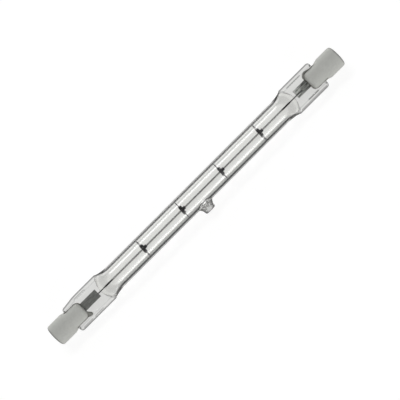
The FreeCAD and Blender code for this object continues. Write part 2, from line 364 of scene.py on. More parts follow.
def quartz(name, front, inside=CLEAR, shine=0.0, shade=None, slope=None, lump=None):
    """Clear glass in two shaders: what passes is refracted, what is turned back is mirrored.

    front and inside are painted greys of shade by the angle at which a ray meets the face, from the air and
    from within the glass. shine scales the mirroring seen from the air. shade is a painted shade for faces
    that look along the lamp's +Y. slope limits the angle to 1 less the face's level share: any slope out of
    the seal's plane, or a side one, which fades in along the shoulder. lump is the size in mm of the lumps of
    melted glass.
    """
    material = bpy.data.materials.new(name)
    add = empty_nodes(material)
    face = add("NewGeometry")
    normal, behind = face.outputs["Normal"], face.outputs["Backfacing"]
    relief = {}
    if lump is not None:
        place = add("TexCoord").outputs["Object"]
        lumps = add("TexNoise", {"Scale": 1 / (lump * MM), "Detail": 1.0, "Vector": place})
        deep = 0.5 * lump * MM
        relief = {"Normal": add("Bump", {"Strength": 1.0, "Distance": deep, "Height": lumps})}
    angle = add("LayerWeight", {"Blend": 0.5, **relief}).outputs["Facing"]
    if slope == "any":
        up = add("VectorMath", {"operation": "DOT_PRODUCT", 0: normal, 1: SQUARE})
        level = add("Math", {"operation": "ABSOLUTE", 0: up})
        own = add("Math", {"operation": "SUBTRACT", 0: 1.0, 1: level})
        angle = add("Math", {"operation": "MINIMUM", 0: angle, 1: own})
    if slope == "side":
        lean = add("VectorMath", {"operation": "DOT_PRODUCT", 0: normal, 1: ACROSS})
        squared = add("Math", {"operation": "MULTIPLY", 0: lean, 1: lean})
        rest = add("Math", {"operation": "SUBTRACT", 0: 1.0, 1: squared})
        level = add("Math", {"operation": "SQRT", 0: rest})
        steep = add("Math", {"operation": "SUBTRACT", 0: 1.0, 1: level})
        place = add("TexCoord").outputs["Object"]
        x = add("SeparateXYZ", {0: place}).outputs["X"]
        along = add("Math", {"operation": "SUBTRACT", 0: x, 1: ENDS_MIDDLE})
        outwards = add("Math", {"operation": "ABSOLUTE", 0: along})
        limits = {"From Min": SHOULDER_FROM, "From Max": SHOULDER_FROM + SHOULDER_FADE * MM}
        fade = add("MapRange", {**limits, "Value": outwards})
        own = add("Math", {"operation": "MULTIPLY", 0: steep, 1: fade})
        angle = add("Math", {"operation": "MINIMUM", 0: angle, 1: own})
    # painted shade: a grey by the face's angle stands in for the dark room seen in the glass
    tone = add("ValToRGB", {"stops": greys(front, FAINT_TINT), "Fac": angle})
    # painted shade on the faces that look along the lamp's +Y, the side of the wall turned from the light
    if shade is not None:
        lean = add("VectorMath", {"operation": "DOT_PRODUCT", 0: normal, 1: ACROSS})
        low = add("Math", {"operation": "GREATER_THAN", 0: lean, 1: 0.0})
        shaded = add("ValToRGB", {"stops": greys(shade, FAINT_TINT), "Fac": angle})
        tone = add("Mix", {"data_type": "RGBA", 0: low, 6: tone, 7: shaded})
    within = add("ValToRGB", {"stops": greys(inside, FAINT_TINT), "Fac": angle})
    tone = add("Mix", {"data_type": "RGBA", 0: behind, 6: tone, 7: within})
    fresnel = add("Fresnel", {"IOR": QUARTZ_IOR})
    shone = add("Math", {"operation": "MULTIPLY", 0: fresnel, 1: shine})
    total = add("Math", {"operation": "GREATER_THAN", 0: fresnel, 1: TURNED_BACK})
    mirrored = add("Mix", {"data_type": "FLOAT", 0: behind, 2: shone, 3: total})
    colour = {"Color": tone, **relief}
    passing = add("BsdfRefraction", {"IOR": QUARTZ_IOR, "Roughness": 0.0, **colour})
    turned = add("BsdfAnisotropic", {"Roughness": GLOSS_ROUGHNESS, **colour})
    both = add("MixShader", {0: mirrored, 1: passing, 2: turned})
    add("OutputMaterial", {"Surface": both})
    return material


# fused quartz, fire-polished outer skin: nearly colourless, with soft long highlights and painted grey shade
# at its edges
quartz_skin = quartz(
    "fused_quartz_fire_polished", ((0.0, 0.99), (0.4, 0.98), (0.6, 0.9), (0.9, 0.8)), shine=1.6,
)
# fused quartz drawn in at the shoulders: clear in front, with a painted dark stroke of shade down each steep
# side
quartz_shoulder = quartz(
    "fused_quartz_shoulder", ((0.0, 0.96), (0.25, 0.94), (0.38, 0.45), (0.55, 0.2), (0.9, 0.2)),
    shine=1.6, slope="side",
)
# fused quartz pressed between jaws: a pale grey sheet, with painted shade on its thick round edges and press
# line
quartz_pressed = quartz(
    "fused_quartz_pressed", ((0.0, 0.92), (0.1, 0.91), (0.2, 0.75), (0.3, 0.42), (0.9, 0.36)),
    shine=0.5, slope="any",
)
# fused quartz in the fine marks of the jaws: painted shade makes them dull dark dashes along the rims, with
# no highlight
quartz_mark = quartz(
    "fused_quartz_jaw_mark", ((0.0, 0.88), (0.03, 0.82), (0.1, 0.6), (0.2, 0.3), (0.9, 0.22)), slope="any",
)
# fused quartz melted shut at the exhaust tip: lumps of 0.7 mm give white flecks of gloss and painted grey
# shade
quartz_tip = quartz(
    "fused_quartz_melted", ((0.0, 0.84), (0.1, 0.76), (0.2, 0.62), (0.3, 0.5), (0.9, 0.45)),
    shine=0.8, lump=0.7,
)
# fused quartz, inner wall: painted shade past the critical angle stands in for the dark room, as a dark line
# along each edge with a faint second line inside it, and more softly along the side that is turned from the
# light
quartz_wall = quartz(
    "fused_quartz_inner_wall", CLEAR,
    ((0.0, 0.99), (0.095, 0.98), (0.115, 0.88), (0.15, 0.8), (0.175, 0.98), (0.226, 0.96), (0.241, 0.3),
     (0.256, 0.04), (0.324, 0.02), (0.353, 0.5), (0.42, 0.92)),
    shade=((0.0, 0.99), (0.25, 0.99), (0.31, 0.9), (0.4, 0.6), (0.6, 0.5)),
)
glasses = (quartz_skin, quartz_shoulder, quartz_pressed, quartz_wall, quartz_tip, quartz_mark)
SKIN, SHOULDER, PRESSED, WALL, TIP, MARK = range(len(glasses))
print("quartz:", [glass.name for glass in glasses])

# %% [markdown]
# ### Metals
#
# The wires are drawn tungsten and molybdenum, dark and dull. The foil is rolled molybdenum, which shows fine
# streaks along its length where the hot glass has wrinkled it. The contact is satin nickel. An image of
# scratches would do for a flat part, but a noise stretched along X needs no unwrapping and gives the marks of
# drawing and rolling. The Metallic input makes the shader reflect in the metal's own colour.


# %% Metals
def metal(name, hex_colour, roughness, grain, depth, spread=None, fade=None):
    """A metal with a fine bump: grain is the pattern's size along X and across, depth its height, all in mm.

    spread is how far the tone wanders with the pattern. fade gives two places along X in mm and how many
    times as bright the metal is at the first.
    """
    material = bpy.data.materials.new(name)
    add = empty_nodes(material)
    place = add("TexCoord").outputs["Object"]
    long, wide = grain
    scale = (1 / (long * MM), 1 / (wide * MM), 1 / (wide * MM))
    scaled = add("Mapping", {"Scale": scale, "Vector": place})
    noise = add("TexNoise", {"Scale": 1.0, "Detail": 4.0, "Vector": scaled})
    bump = add("Bump", {"Strength": 0.5, "Distance": depth * MM, "Height": noise})
    tone = linear(hex_colour)
    if spread is not None:
        tone = add("ValToRGB", {"stops": either_way(hex_colour, spread), "Fac": noise})
    if fade is not None:
        start, stop, gain = fade
        x = add("SeparateXYZ", {0: place}).outputs["X"]
        limits = {"From Min": start * MM, "From Max": stop * MM, "To Min": gain, "To Max": 1.0}
        brighter = add("MapRange", {**limits, "Value": x})
        tone = add("VectorMath", {"operation": "SCALE", 0: tone, "Scale": brighter})
    surface = {"Base Color": tone, "Metallic": 1.0, "Roughness": roughness, "Normal": bump}
    add("OutputMaterial", {"Surface": add("BsdfPrincipled", surface)})
    return material


# The marks of drawing and rolling are some thousandths of a millimetre across, too fine to show. They are
# drawn 0.125 to 0.385 mm across and up to 1.7 mm long, as coarse as a close view needs.
# tungsten, drawn into wire: dark grey with a soft dull gleam
tungsten = metal("tungsten_drawn", "#464648", 0.5, (0.125, 0.125), 0.01)
# molybdenum, drawn into wire: mid grey and dull
molybdenum = metal("molybdenum_wire_dull", "#5c5c5c", 0.5, (0.125, 0.125), 0.01)
# molybdenum, rolled into foil: a flat dark grey, faintly streaked along its length
foil_plain = metal("molybdenum_foil_rolled", "#7b7c7a", 0.5, (1.667, 0.286), 0.03, 0.3)
# molybdenum foil wrinkled by the hot glass: light and dark streaks, and a bright end at the welded lead
foil_streaked = metal(
    "molybdenum_foil_wrinkled", "#6f706e", 0.45, (1.429, 0.385), 0.12, 0.85, (41.5, 45.5, 3.0),
)
# nickel, satin: a pale warm grey with a wide soft highlight
nickel = metal("nickel_satin", "#c2beb4", 0.35, (0.167, 0.167), 0.01, 0.05)
print("metals:", [finish.name for finish in (tungsten, molybdenum, foil_plain, foil_streaked, nickel)])

# %% [markdown]
# ### Ceramics
#
# The caps are steatite, a pale ceramic that is pressed dry, fired and left unglazed, and the cement that
# holds them is coarser. Both are matte, with a fine grain. The caps' rounded outer edges get painted shade,
# as they turn away from the light. Painting that on would need an unwrapped image, so the normal's share
# along
# X gives it: it greys the faces that lean outwards along the lamp most, and the end faces less.


# %% Ceramics
def ceramic(name, hex_colour, roughness, grain, depth, spread, ends=1.0):
    """A matte ceramic: grain is its size and depth its height, both in mm, in tone and in bump.

    ends is the painted shade of faces that lean outwards along X, as a share of the colour.
    """
    material = bpy.data.materials.new(name)
    add = empty_nodes(material)
    place = add("TexCoord").outputs["Object"]
    pattern = {"Scale": 1 / (grain * MM), "Detail": 5.0, "Roughness": 0.6}
    noise = add("TexNoise", {**pattern, "Vector": place})
    bump = add("Bump", {"Strength": 0.4, "Distance": depth * MM, "Height": noise})
    face = add("NewGeometry")
    way = add("SeparateXYZ", {0: face.outputs["Normal"]}).outputs["X"]
    x = add("SeparateXYZ", {0: place}).outputs["X"]
    end = add("Math", {"operation": "SIGN", 0: x})
    outwards = add("Math", {"operation": "MULTIPLY", 0: way, 1: end})
    grained = add("ValToRGB", {"stops": either_way(hex_colour, spread), "Fac": noise})
    # painted shade: faces that lean outwards along X are greyed
    painted_edge_shade = greys(((0.0, 1.0), (0.25, 1.0), (0.65, ends), (0.985, 0.7 * ends), (1.0, 0.8)))
    edge_shade = add("ValToRGB", {"stops": painted_edge_shade, "Fac": outwards})
    product = {"data_type": "RGBA", "blend_type": "MULTIPLY", 0: 1.0}
    tone = add("Mix", {**product, 6: grained, 7: edge_shade})
    surface = {"Base Color": tone, "Roughness": roughness, "IOR": 1.5, "Normal": bump}
    add("OutputMaterial", {"Surface": add("BsdfPrincipled", surface)})
    return material


# The grit of fired steatite and of cement is about 0.05 mm, too fine to show. It is drawn as 0.6 and 0.4 mm.
# steatite, pressed and fired, unglazed: an even matte grey-white, with painted shade round the outer edge
steatite = ceramic("steatite_unglazed", "#c8c9c4", 0.75, 0.6, 0.01, 0.04, 0.55)
# cap cement, dry: chalky, slightly porous and a little warmer than the cap
cap_cement = ceramic("cap_cement_dry", "#c2bfb6", 0.9, 0.4, 0.04, 0.12)
# cap cement that came out on to the glass, in a dark grey that is painted shade for the gap along the neck
slot_shade_cement = ceramic("cap_cement_slot_shade", "#8c8c87", 0.9, 0.4, 0.04, 0.2)
print("ceramics:", [finish.name for finish in (steatite, cap_cement, slot_shade_cement)])

# %% [markdown]
# ## The quartz envelope
#
# The real envelope starts as a plain tube. Each end is heated and pressed flat between jaws, which leaves a
# thick rim along both edges, a shoulder between round and flat, and a curved press line. A boolean of solids
# would give sharp joints, so the whole outside is one grid instead: the section changes from a circle to an
# oval to the rimmed flat as it moves along X. The gas space is a second grid inside.

# %% Sections of the envelope
ROUND = 180
TURN = full_turn(ROUND)
PRESS_REACH, PRESS_BOW, PRESS_HALF_WIDTH = 1.65, 1.3, 3.4
FLARE_POWER, HANDOVER = 2.7, 0.7
GROOVE_DEPTH, GROOVE_WIDTH, GROOVE_FROM, GROOVE_TO, GROOVE_FADE = 0.16, 0.11, 0.7, 4.2, 0.8


def seal_section(turn):
    """The rimmed flat, by turn: quarter knots joined by lines, then blurred a little to round the corners."""
    fine = full_turn(2880)
    quarter = np.degrees(np.arccos(np.abs(np.cos(fine))))
    knot = (0, 8, 14, 20, 26, 32, 38, 48, 56, 90)
    width = (1.0, 1.0, 0.965, 0.925, 0.88, 0.84, 0.79, 0.66, 0.61, 0.0)
    rise = (0.0, 0.5, 0.72, 0.85, 0.95, 1.0, 0.99, 0.72, 0.7, 0.7)
    blur = np.exp(-0.5 * (np.arange(-40, 41) / 9.0) ** 2)
    section = []
    for height, sign in ((width, np.sign(np.cos(fine))), (rise, np.sign(np.sin(fine)))):
        line = np.interp(quarter, knot, height) * sign
        line = np.convolve(np.concatenate([line[-40:], line, line[:40]]), blur / blur.sum(), mode="valid")
        section.append(np.interp(turn, fine, line / np.abs(line).max(), period=2 * np.pi))
    return section


def press_line(y):
    """How far past the shoulder's start the press line lies: furthest at the middle, less by y squared."""
    return SHOULDER_LENGTH + PRESS_REACH - PRESS_BOW * np.clip(np.abs(y) / PRESS_HALF_WIDTH, 0, 1.25) ** 2


SEAL_Y, SEAL_Z = seal_section(TURN)


def outer_section(d):
    """Points across the outside at distances d (an array) past the shoulder's start, as grids of y and z.

    Oval: half width flares from the tube to the seal by a power of the distance, half height falls to the
    web at the press line. Past the press line the rimmed flat takes over, and a groove follows the line.
    """
    d = d[:, None]
    flare = np.clip((d + SHOULDER_LEAD) / (SHOULDER_LENGTH + SHOULDER_LEAD), 0, 1) ** FLARE_POWER
    wide = TUBE_R + (SEAL_HALF_WIDTH - TUBE_R) * flare
    share = np.clip(d / (SHOULDER_LENGTH + PRESS_REACH), 0, 1)
    high = TUBE_R - (TUBE_R - SEAL_WEB_Z) * share ** 2 * (2.3 - 1.3 * share)
    oval_y, oval_z = wide * np.cos(TURN), high * np.sin(TURN)
    flat_y, flat_z = SEAL_HALF_WIDTH * SEAL_Y, SEAL_RIM_Z * SEAL_Z
    past, off = d - press_line(oval_y), np.abs(oval_y)
    taken = ease((past + HANDOVER / 2) / HANDOVER)
    groove = GROOVE_DEPTH * np.exp(-0.5 * (past / GROOVE_WIDTH) ** 2)
    groove = groove * ease(off - GROOVE_FROM) * ease((GROOVE_TO - off) / GROOVE_FADE)
    y, z = oval_y + (flat_y - oval_y) * taken, oval_z + (flat_z - oval_z) * taken
    return y, z - np.sign(z) * groove


print("press line, at the middle and at the rim:", press_line(np.array([0, SEAL_HALF_WIDTH])).round(2))

# %% [markdown]
# ### Marks of the jaws
#
# The press jaws leave short broken dents along the rims, which show as dark dashes. A bump would shade them
# from one side only, and glass shows hardly any shading, so they are real dents in the grid: bell curves
# across the rim, broken by a sine along it. Their dark is painted shade: the dents get a darker glass with no
# gloss.

# %% Jaw marks
# end, place across, from and to along X, depth
JAW_MARKS = (
    ("left", 3.75, -47.2, -42.8, 0.16),
    ("left", -4.1, -50.8, -46.8, 0.08),
    ("left", -4.1, -46.0, -42.4, 0.13),
    ("right", 3.6, 41.0, 46.8, 0.016),
    ("right", -4.15, 39.8, 50.4, 0.05),
    ("right", -3.4, 43.4, 47.8, 0.045),
)
MARK_WIDTH, MARK_RUN_OUT = 0.12, 0.4


def jaw_marks(name, x, y):
    """The depth of the jaws' marks at (x, y): each is a bell curve across, broken by a sine along X."""
    depth = np.zeros(np.broadcast(x, y).shape)
    for end, place, start, stop, deep in JAW_MARKS:
        if end == name:
            along = ease((x - start) / MARK_RUN_OUT) * ease((stop - x) / MARK_RUN_OUT)
            broken = 0.75 + 0.25 * np.sin(8 * x + 5 * place)
            depth += deep * along * broken * np.exp(-0.5 * ((y - place) / MARK_WIDTH) ** 2)
    return depth


print("jaw marks:", len(JAW_MARKS))

# %% [markdown]
# ### The two ends
#
# The seals differ in length, and the left one is trimmed askew, as such lamps are where the glass was cut by
# hand. The gas space narrows to a chisel edge at the press line, so it ends where the jaws met. Columns lie
# closer together at the press line, because the form changes fastest there.


# %% Ends of the envelope
CORNER_R, SKEW_FROM, SKEW_LENGTH, SKEW = 0.9, 12.1, 6.4, 0.12
EDGE_R, EDGE_DROP = 0.25, 0.12
FINE_FROM, FINE_TO = 3.6, 6.8
GAS_WIDENS, GAS_SHORT_BY, CHISEL_Z = 0.27, 0.15, 0.03


def outer_end(name):
    """The outside of one end, from the shoulder's start to the seal's end, as a grid of points.

    The corner's half width falls by a quarter circle, and the left seal's +Y side eases in by its skew.
    """
    end = END[name]
    length = abs(end["seal_end"] - end["seal_start"]) + SHOULDER_LENGTH
    d = np.concatenate([
        np.linspace(-SHOULDER_LEAD, FINE_FROM, 20, endpoint=False),
        np.linspace(FINE_FROM, FINE_TO, 36, endpoint=False),
        np.linspace(FINE_TO, length - 1, 44, endpoint=False),
        length - 1 + np.sin(np.linspace(0, QUARTER, 14)),
    ])
    x = end["seal_start"] + end["side"] * (d - SHOULDER_LENGTH)
    y, z = outer_section(d)
    z = z - np.sign(z) * jaw_marks(name, x[:, None], y)
    left = (length - d)[:, None]
    z = z * (1 - EDGE_DROP * (1 - np.clip(left / EDGE_R, 0, 1)) ** 2)
    bow = 1 - np.clip(left / CORNER_R, 0, 1)
    y = y * (1 - CORNER_R / SEAL_HALF_WIDTH * (1 - np.sqrt(1 - bow ** 2)))
    if name == "left":
        y = np.where(y > 0, y * (1 - SKEW * ease((d[:, None] - SKEW_FROM) / SKEW_LENGTH)), y)
    return points_of(x[:, None], y, z)


def inner_end(name):
    """The gas space of one end: an oval whose half height falls to a chisel edge at the press line."""
    end = END[name]
    s = np.linspace(0, 1, 40)[:, None]
    y = BORE_R * np.cos(TURN) * (1 + GAS_WIDENS * s ** 2.2)
    reach = press_line(y) - GAS_SHORT_BY
    d = s * (reach + SHOULDER_LEAD) - SHOULDER_LEAD
    fall = np.clip(d / reach, 0, 1)
    z = BORE_R * np.sin(TURN) * (1 - fall ** 2 * (2.4 - 1.4 * fall)) + CHISEL_Z * np.sin(TURN) * fall
    x = end["seal_start"] + end["side"] * (d - SHOULDER_LENGTH)
    return points_of(x, y, z)


left_outside, right_outside = outer_end("left")[::-1], outer_end("right")
left_gas, right_gas = inner_end("left")[::-1], inner_end("right")
print("columns of an end:", len(left_outside), "and of its gas space:", len(left_gas))

# %% [markdown]
# ### The exhaust tip
#
# The tip is what is left of the glass pipe through which the lamp was pumped out and filled: a stub with a
# flared root and a melted end. It has to be one skin with the tube, or the glass would show a seam. So a
# rectangle is left out of the tube's grid round the tip, and a round patch fills it. The patch's rings follow
# the stub's profile down to the tube, and its last ring is the rectangle's own edge.


# %% A skin with a tip
def hole_edge(i0, i1, j0, j1, columns):
    """Numbers of the grid points round a rectangle of a grid, in order."""
    i, j = np.arange(i0, i1), np.arange(j0, j1)
    there = [i * columns + j0, i1 * columns + j]
    back = [(i[::-1] + 1) * columns + j1, i0 * columns + j[::-1] + 1]
    return np.concatenate(there + back)


def skin_with_tip(grid, radius, hole, profile, blend, melt):
    """The shell of a tube's grid with a round patch in place of a rectangle of half size hole.

    profile gives distances from the tip's axis and heights down the stub, and blend goes from 1 on the stub
    to 0 where the patch lies on the tube: a point's height is its profile height times the blend plus the
    tube's own height there times the rest. melt is how far the stub strays from round, by a sum of sines.
    """
    rows, columns = grid.shape[:2]
    x = grid[:, columns // 2, 0]
    i0, i1 = np.searchsorted(x, TIP_X - hole), np.searchsorted(x, TIP_X + hole)
    half = int(round(np.arcsin(hole / radius) / (2 * np.pi) * columns))
    j0, j1 = columns // 2 - half, columns // 2 + half
    quads = grid_quads(rows, columns, closed=True).reshape(rows - 1, columns, 4)
    keep = np.ones(quads.shape[:2], dtype=bool)
    keep[i0:i1, j0:j1] = False
    edge = hole_edge(i0, i1, j0, j1, columns)
    points = grid.reshape(-1, 3)
    away = points[edge][:, (0, 2)] - (TIP_X, 0.0)
    far = np.linalg.norm(away, axis=1)
    heading = away / far[:, None]
    rho, height = profile
    spread = np.linspace(0, 1, 12)[1:-1, None] ** 1.2
    flat = np.zeros(len(spread))
    rho = np.concatenate([np.repeat(rho[:, None], len(far), axis=1), rho[-1] + spread * (far - rho[-1])])
    height, blend = np.concatenate([height, flat])[:, None], np.concatenate([blend, flat])[:, None]
    around = np.arctan2(heading[:, 1], heading[:, 0])
    level = np.linspace(0, 12, len(rho))[:, None]
    wave = np.sin(2 * around + 0.6) + 0.7 * np.sin(5 * around + 2) + 0.5 * np.sin(3 * around + level)
    rho = rho * (1 + melt * blend * wave)
    px, pz = TIP_X + rho * heading[:, 0], rho * heading[:, 1]
    py = -(blend * height + (1 - blend) * np.sqrt(np.maximum(radius ** 2 - pz ** 2, 0.01)))
    patch = points_of(px, py, pz)
    start, (rings, count) = len(points), patch.shape[:2]
    inner = grid_quads(rings, count, closed=True) + start
    last = start + (rings - 1) * count + np.arange(count)
    seam = np.stack([np.roll(last, -1), np.roll(edge, -1), edge, last], axis=1)
    crown = mirror_lid(start + np.arange(count))[:, ::-1]
    faces = np.concatenate([quads[keep], inner, seam, crown, end_lids(rows, columns)])
    points = np.concatenate([points, patch.reshape(-1, 3)])
    return points, facing_out(points, faces)


tube_x = np.concatenate([
    np.linspace(left_outside[-1, 0, 0], TIP_X - 4, 16)[1:], np.linspace(TIP_X - 4, TIP_X + 4, 41)[1:-1],
    np.linspace(TIP_X + 4, right_outside[0, 0, 0], 16)[:-1],
])
unit_tube = around_x(tube_x[:, None], 1.0, TURN)
print("columns of the tube:", len(tube_x))

# %% [markdown]
# ### One glass shell
#
# The outside and the gas space are two shells of one mesh, and the inner one is turned inside out, so that
# light enters and leaves the glass as it should. Each face then gets its own glass: fire-polished, drawn in,
# pressed, marked by the jaws, melted, or inner wall.

# %% Envelope
TIP_TOP, TIP_CLOSED = TUBE_R + TIP_HEIGHT, 1.3
CHANNEL_TOP = TIP_TOP - TIP_CLOSED
STUB_FLAT_R, STUB_EDGE_R, STUB_DOME, ROOT_FLARE = 1.2, 0.6, 0.05, 1.45
STUB_SIDE_R, STUB_EDGE_LOW = STUB_FLAT_R + STUB_EDGE_R, STUB_DOME + STUB_EDGE_R
CONE_TOP_R, CONE_R, MOUTH_R = 0.5, 0.9, 1.7
CONE_ROUND, CONE_LONG, MOUTH_LONG = 0.3, 0.9, 0.55
bend = np.linspace(0, QUARTER, 8)[1:]
drop = np.linspace(0, 1, 14)[1:]
crown = np.linspace(0.02, 1, 8)
# the stub's profile from its end's middle, round the melted edge, down the side and out along the flare
stub_r = np.concatenate([
    STUB_FLAT_R * crown, STUB_FLAT_R + STUB_EDGE_R * np.sin(bend), STUB_SIDE_R + ROOT_FLARE * drop ** 2.6,
])
stub_height = TIP_TOP - np.concatenate([
    STUB_DOME * crown ** 2, STUB_DOME + STUB_EDGE_R * (1 - np.cos(bend)),
    STUB_EDGE_LOW + (TIP_HEIGHT - 0.5) * drop,
])
stub_blend = np.concatenate([np.ones(15), 1 - ease((drop - 0.45) / 0.55)])
outside = np.concatenate([left_outside, unit_tube * (1, TUBE_R, TUBE_R), right_outside])
outer_points, outer_quads = skin_with_tip(outside, TUBE_R, 3.6, (stub_r, stub_height), stub_blend, 0.025)
# the blind channel in the tip: a rounded cone that opens into the bore with a flared mouth
cone_r = np.concatenate([
    CONE_TOP_R * np.sin(bend), CONE_TOP_R + (CONE_R - CONE_TOP_R) * drop,
    CONE_R + (MOUTH_R - CONE_R) * drop ** 2,
])
cone_height = CHANNEL_TOP - np.concatenate([
    CONE_ROUND * (1 - np.cos(bend)), CONE_ROUND + CONE_LONG * drop,
    CONE_ROUND + CONE_LONG + MOUTH_LONG * drop,
])
cone_blend = np.concatenate([np.ones(20), 1 - ease(drop)])
gas = np.concatenate([left_gas, unit_tube * (1, BORE_R, BORE_R), right_gas])
gas_points, gas_quads = skin_with_tip(gas, BORE_R, 2.6, (cone_r, cone_height), cone_blend, 0.03)

# melted glass reaches a little down the tube, a shoulder's glass starts after its lead and a seal's before
# its press line, and a mark has a least depth
MELT_DOWN, MELT_R, AFTER_LEAD, BEFORE_PRESS, LEAST_MARK = 0.6, 2.6, 0.3, 0.6, 0.004
face_x, face_y, face_z = outer_points[outer_quads].mean(axis=1).T
on_tip = (face_y < -TUBE_R + MELT_DOWN) & (np.hypot(face_x - TIP_X, face_z) < MELT_R)
outer_glass = np.where(on_tip, TIP, SKIN)
for name, end in END.items():
    d = SHOULDER_LENGTH + end["side"] * (face_x - end["seal_start"])
    outer_glass[d > AFTER_LEAD - SHOULDER_LEAD] = SHOULDER
    outer_glass[d - press_line(face_y) > -BEFORE_PRESS] = PRESSED
    outer_glass[jaw_marks(name, face_x, face_y) > LEAST_MARK] = MARK
in_channel = gas_points[gas_quads].mean(axis=1)[:, 1] < -BORE_R - 0.05
glass_of_face = np.concatenate([outer_glass, np.where(in_channel, TIP, WALL)])
shell = join((outer_points, outer_quads), (gas_points, gas_quads[:, ::-1]))
add_piece("quartz_envelope_fine", shell, ["quartz_envelope"], glasses, glass_of_face)

# %% [markdown]
# ## Filament
#
# The filament is a long coil of thin tungsten wire, gripped on the tips of the two inner leads. A Screw
# modifier would wind it evenly, but here the turns lie side by side at the ends and open up between them. So
# it is a helix whose turn grows with the distance along X, faster at the ends. A real one has turns of some
# hundredths of a millimetre, too fine to show, so they are drawn 0.24 mm apart.

# %% Filament
COIL_R, COIL_WIRE, COIL_PITCH, COIL_END_PITCH, COIL_END = 0.25, 0.1, 0.24, 0.125, 2.6
OPENING, POINTS_IN_TURN = 0.8, 12
coil_from, coil_to = span("filament")
x = np.linspace(coil_from, coil_to, 24001)
from_end = np.minimum(x - coil_from, coil_to - x)
pitch = COIL_END_PITCH + (COIL_PITCH - COIL_END_PITCH) * ease((from_end - COIL_END) / OPENING)
turns = np.concatenate([[0], np.cumsum(0.5 * (1 / pitch[1:] + 1 / pitch[:-1]) * np.diff(x))])
turn = np.linspace(0, turns[-1], int(turns[-1] * POINTS_IN_TURN))
spiral = around_x(np.interp(turn, turns, x), COIL_R, 2 * np.pi * turn)
coil = tube_along(spiral, COIL_WIRE / 2, 6)
add_piece("filament_coil", coil, ["filament"], (tungsten,))
print("filament turns:", int(turns[-1]))

# %% [markdown]
# ## Filament supports
#
# Each support is one tungsten wire. It is wound first on the filament as a hub, then back over it as a
# collar, and then out to a ring that springs against the tube's wall. Three rings would be easier, but they
# would hang in the air. A path whose distance from the axis steps outwards as it turns gives one wire.


# %% Supports
SUPPORT_WIRE = 0.22
SUPPORT_PITCH = SUPPORT_WIRE * 1.15
# turns from the wire's start, and the distance from the axis there
SUPPORT_STAGES = ((0.0, 0.42), (2.7, 0.42), (2.9, 1.24), (6.5, 1.24), (6.75, 3.02), (7.7, 3.02))
COLLAR_END, MIDDLE_TURN, MIDDLE_X, RING_AHEAD = 6.5, 4.3, 0.05, 0.38


def support_path(x_low, x_high):
    """A wire whose distance from the axis steps, with easing, from hub to collar to ring as it turns."""
    turn = np.linspace(0, SUPPORT_STAGES[-1][0], 370)
    radius = np.full_like(turn, SUPPORT_STAGES[0][1])
    for (t0, r0), (t1, r1) in zip(SUPPORT_STAGES, SUPPORT_STAGES[1:]):
        radius = radius + (r1 - r0) * ease((turn - t0) / (t1 - t0))
    wound = SUPPORT_PITCH * (MIDDLE_TURN - np.minimum(turn, COLLAR_END))
    x = (x_low + x_high) / 2 + MIDDLE_X + wound + RING_AHEAD * ease((turn - COLLAR_END) / 0.3)
    return around_x(x, radius, 2 * np.pi * turn)


for number in range(1, 5):
    node = f"filament_support_{number}"
    wire = tube_along(support_path(*span(node)), SUPPORT_WIRE / 2, 10)
    add_piece(node + "_wire", wire, [node], (tungsten,))

# %% [markdown]
# ## Foils
#
# A molybdenum foil thinner than paper carries the current through each seal, because quartz can't be melted
# on to a thick wire without cracking. Its edges are etched to a feather edge and the hot glass wrinkles it.
# A plane with a Solidify modifier would have square edges, so the foil is a closed sheet: thick at the
# middle, nearly nothing at the edges, with ripples.


# %% Foils
FOIL_ROWS, FOIL_COLUMNS, FOIL_MIDDLE_Y, FOIL_HALF_WIDTH = 90, 41, 0.28, 1.4
FOIL_EDGE, FOIL_SWELL = 0.001, 0.013
# the foil's height in the seal, the height of its wrinkles, and its finish
FOILS = {"left": (0.205, 0.005, foil_plain), "right": (-0.205, 0.02, foil_streaked)}


def foil_sheet(end, z_mid, wrinkle):
    """Two sheets joined at the edges: z = middle + ripple, plus or minus a thickness that falls outwards."""
    u, v = np.meshgrid(np.linspace(0, 1, FOIL_ROWS), np.linspace(-1, 1, FOIL_COLUMNS), indexing="ij")
    x = end["foil"][0] + (end["foil"][1] - end["foil"][0]) * u
    y = FOIL_MIDDLE_Y + FOIL_HALF_WIDTH * v
    ripple = wrinkle * (np.sin(9 * v + 2.5 * np.sin(7 * u)) + 0.5 * np.sin(23 * v + 3 * np.sin(4 * u + 1.0)))
    thick = FOIL_EDGE + FOIL_SWELL * np.sqrt(np.maximum(1 - v ** 2, 0))
    middle = z_mid + ripple * (1 - v ** 4)
    sheets = [points_of(x, y, middle + sign * thick) for sign in (1, -1)]
    points = np.concatenate(sheets).reshape(-1, 3)
    number = np.arange(u.size).reshape(u.shape)
    ring = np.concatenate([number[:-1, 0], number[-1, :-1], number[:0:-1, -1], number[0, :0:-1]])
    after = np.roll(ring, -1)
    wall = np.stack([after, after + u.size, ring + u.size, ring], axis=1)
    face = grid_quads(FOIL_ROWS, FOIL_COLUMNS)
    return points, facing_out(points, np.concatenate([face, face[:, ::-1] + u.size, wall]))


for name, (z_mid, wrinkle, finish) in FOILS.items():
    sheet = foil_sheet(END[name], z_mid, wrinkle)
    add_piece(f"foil_{name}_sheet", sheet, ["foil_" + name], (finish,))

# %% [markdown]
# ## Ceramic caps
#
# Each cap is pressed steatite: a round head with a recess for the holder's plunger, and a thinner neck that
# is slotted to straddle the seal and widens smoothly into the head. Cutting the slot with a boolean would
# leave sharp corners. So the head is a turned profile, and each half of the neck is a D section swept along
# X, which keeps the slot's corners rounded as a pressing has them, and runs into the head.

